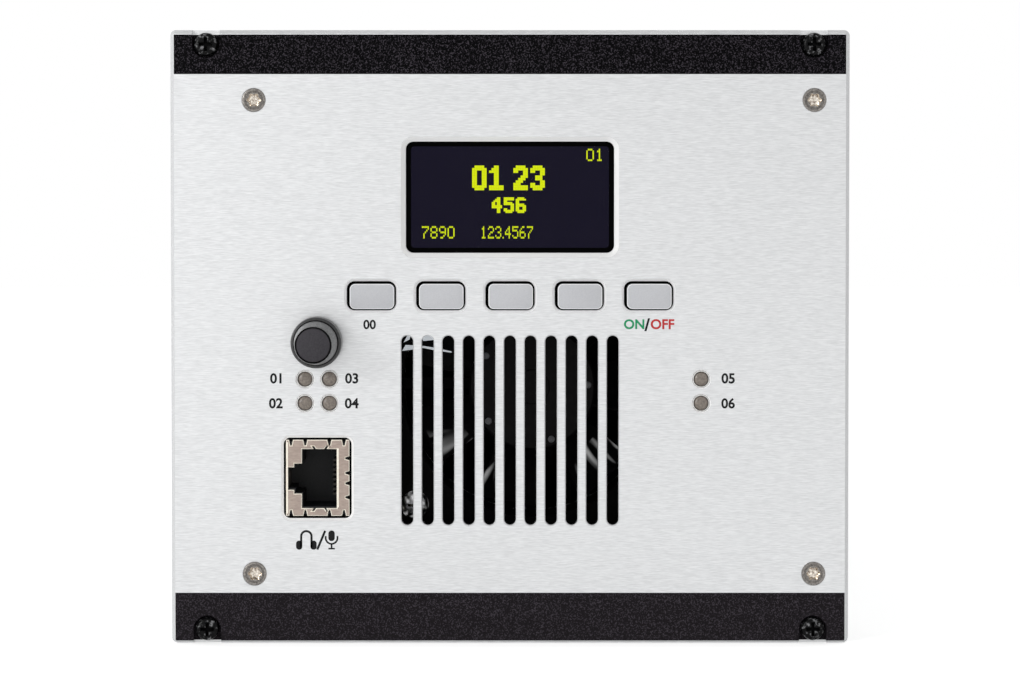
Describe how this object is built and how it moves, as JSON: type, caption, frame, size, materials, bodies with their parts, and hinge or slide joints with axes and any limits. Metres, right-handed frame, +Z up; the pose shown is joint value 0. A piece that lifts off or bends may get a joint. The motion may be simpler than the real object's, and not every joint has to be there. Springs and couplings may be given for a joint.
{
  "type": "vhf marine transmitter module",
  "caption": "Plug-in rack module of a VHF marine transmitter: brushed front panel with display, push buttons, knob, lamps, headset socket and fan grille, on a sheet-metal chassis.",
  "frame": {"origin": "centre of the four rack screws, on the back face of the front panel", "axes": "+X to the right seen from the front, +Y to the rear along the chassis, +Z up"},
  "size_m": [0.142, 0.3125, 0.1284],
  "materials": {
    "panel_aluminium": "pale brushed aluminium, fine level grain, black printed bands top and bottom",
    "black_steel": "black zinc plating, glossy",
    "nickel_steel": "nickel plating",
    "black_nylon": "black moulded nylon",
    "clear_acrylic": "clear flat acrylic",
    "black_rubber": "matt black rubber",
    "screen": "dark navy glass with lit yellow-green dots",
    "circuit_board": "green solder mask",
    "button_grey": "pale grey moulded plastic, fine matt",
    "knob_black": "dark grey moulded plastic, satin",
    "knob_cap_grey": "dark grey moulded plastic, matt",
    "brass": "bare brass",
    "zinc_diecast": "zinc die casting",
    "lamp_lens": "diffused brown-grey lamp resin, unlit",
    "nickel_shield": "bright nickel",
    "socket_black": "black moulded plastic",
    "gold_contacts": "gold plating",
    "fan_black": "black moulded plastic",
    "chassis_aluminium": "clear passivated sheet",
    "heatsink_aluminium": "extruded, bare",
    "supply_case": "grey powder coat",
    "white_insulator": "white fluoropolymer"
  },
  "bodies": {
    "module": {"front_panel": "panel_aluminium", "rack_screws": "black_steel", "screw_retainers": "black_nylon", "panel_screws": "nickel_steel", "display_window": "clear_acrylic", "display_gasket": "black_rubber", "display_panel": "screen", "display_board": "circuit_board", "switch_housings": "black_nylon", "encoder_body": "zinc_diecast", "lamp_spacers": "black_nylon", "headset_shield": "nickel_shield", "headset_housing": "socket_black", "headset_contacts": "gold_contacts", "control_board": "circuit_board", "board_spacers": "brass", "board_screws": "nickel_steel", "fan_frame": "fan_black", "fan_screws": "nickel_steel", "chassis_tray": "chassis_aluminium", "top_cover": "chassis_aluminium", "rear_panel": "chassis_aluminium", "inner_frame": "chassis_aluminium", "chassis_screws": "nickel_steel", "heatsink": "heatsink_aluminium", "amplifier_board": "circuit_board", "exciter_board": "circuit_board", "exciter_shield": "nickel_shield", "power_supply": "supply_case", "antenna_socket": "nickel_shield", "antenna_insulator": "white_insulator", "antenna_contact": "gold_contacts", "mains_inlet": "socket_black", "mains_pins": "nickel_steel", "remote_socket": "nickel_shield", "remote_locks": "nickel_steel", "earth_stud": "brass", "indicator_lamp_1": "lamp_lens", "indicator_lamp_2": "lamp_lens", "indicator_lamp_3": "lamp_lens", "indicator_lamp_4": "lamp_lens", "indicator_lamp_5": "lamp_lens", "indicator_lamp_6": "lamp_lens"},
    "button_1": {"button_cap_1": "button_grey", "switch_plunger_1": "black_nylon"},
    "button_2": {"button_cap_2": "button_grey", "switch_plunger_2": "black_nylon"},
    "button_3": {"button_cap_3": "button_grey", "switch_plunger_3": "black_nylon"},
    "button_4": {"button_cap_4": "button_grey", "switch_plunger_4": "black_nylon"},
    "button_5": {"button_cap_5": "button_grey", "switch_plunger_5": "black_nylon"},
    "encoder_turn": {"encoder_rotor": "black_nylon"},
    "knob": {"encoder_shaft": "nickel_steel", "knob_body": "knob_black", "knob_cap": "knob_cap_grey", "knob_collet": "brass"},
    "fan": {"fan_rotor": "fan_black"}
  },
  "joints": [
    {"name": "button_1_press", "type": "slide", "parent": "module", "child": "button_1", "axis": [0, 1, 0], "range_m": [0, 0.0006], "stiffness_N_per_m": 1500, "springref_m": -0.0006},
    {"name": "button_2_press", "type": "slide", "parent": "module", "child": "button_2", "axis": [0, 1, 0], "range_m": [0, 0.0006], "stiffness_N_per_m": 1500, "springref_m": -0.0006},
    {"name": "button_3_press", "type": "slide", "parent": "module", "child": "button_3", "axis": [0, 1, 0], "range_m": [0, 0.0006], "stiffness_N_per_m": 1500, "springref_m": -0.0006},
    {"name": "button_4_press", "type": "slide", "parent": "module", "child": "button_4", "axis": [0, 1, 0], "range_m": [0, 0.0006], "stiffness_N_per_m": 1500, "springref_m": -0.0006},
    {"name": "button_5_press", "type": "slide", "parent": "module", "child": "button_5", "axis": [0, 1, 0], "range_m": [0, 0.0006], "stiffness_N_per_m": 1500, "springref_m": -0.0006},
    {"name": "knob_turn", "type": "hinge", "parent": "module", "child": "encoder_turn", "pos_m": [-0.0403, 0, -0.0009], "axis": [0, 1, 0], "continuous": true},
    {"name": "knob_press", "type": "slide", "parent": "encoder_turn", "child": "knob", "axis": [0, 1, 0], "range_m": [0, 0.0005], "stiffness_N_per_m": 3000, "springref_m": -0.001},
    {"name": "fan_spin", "type": "hinge", "parent": "module", "child": "fan", "pos_m": [0.0048, 0.0225, -0.0117], "axis": [0, 1, 0], "continuous": true}
  ]
}
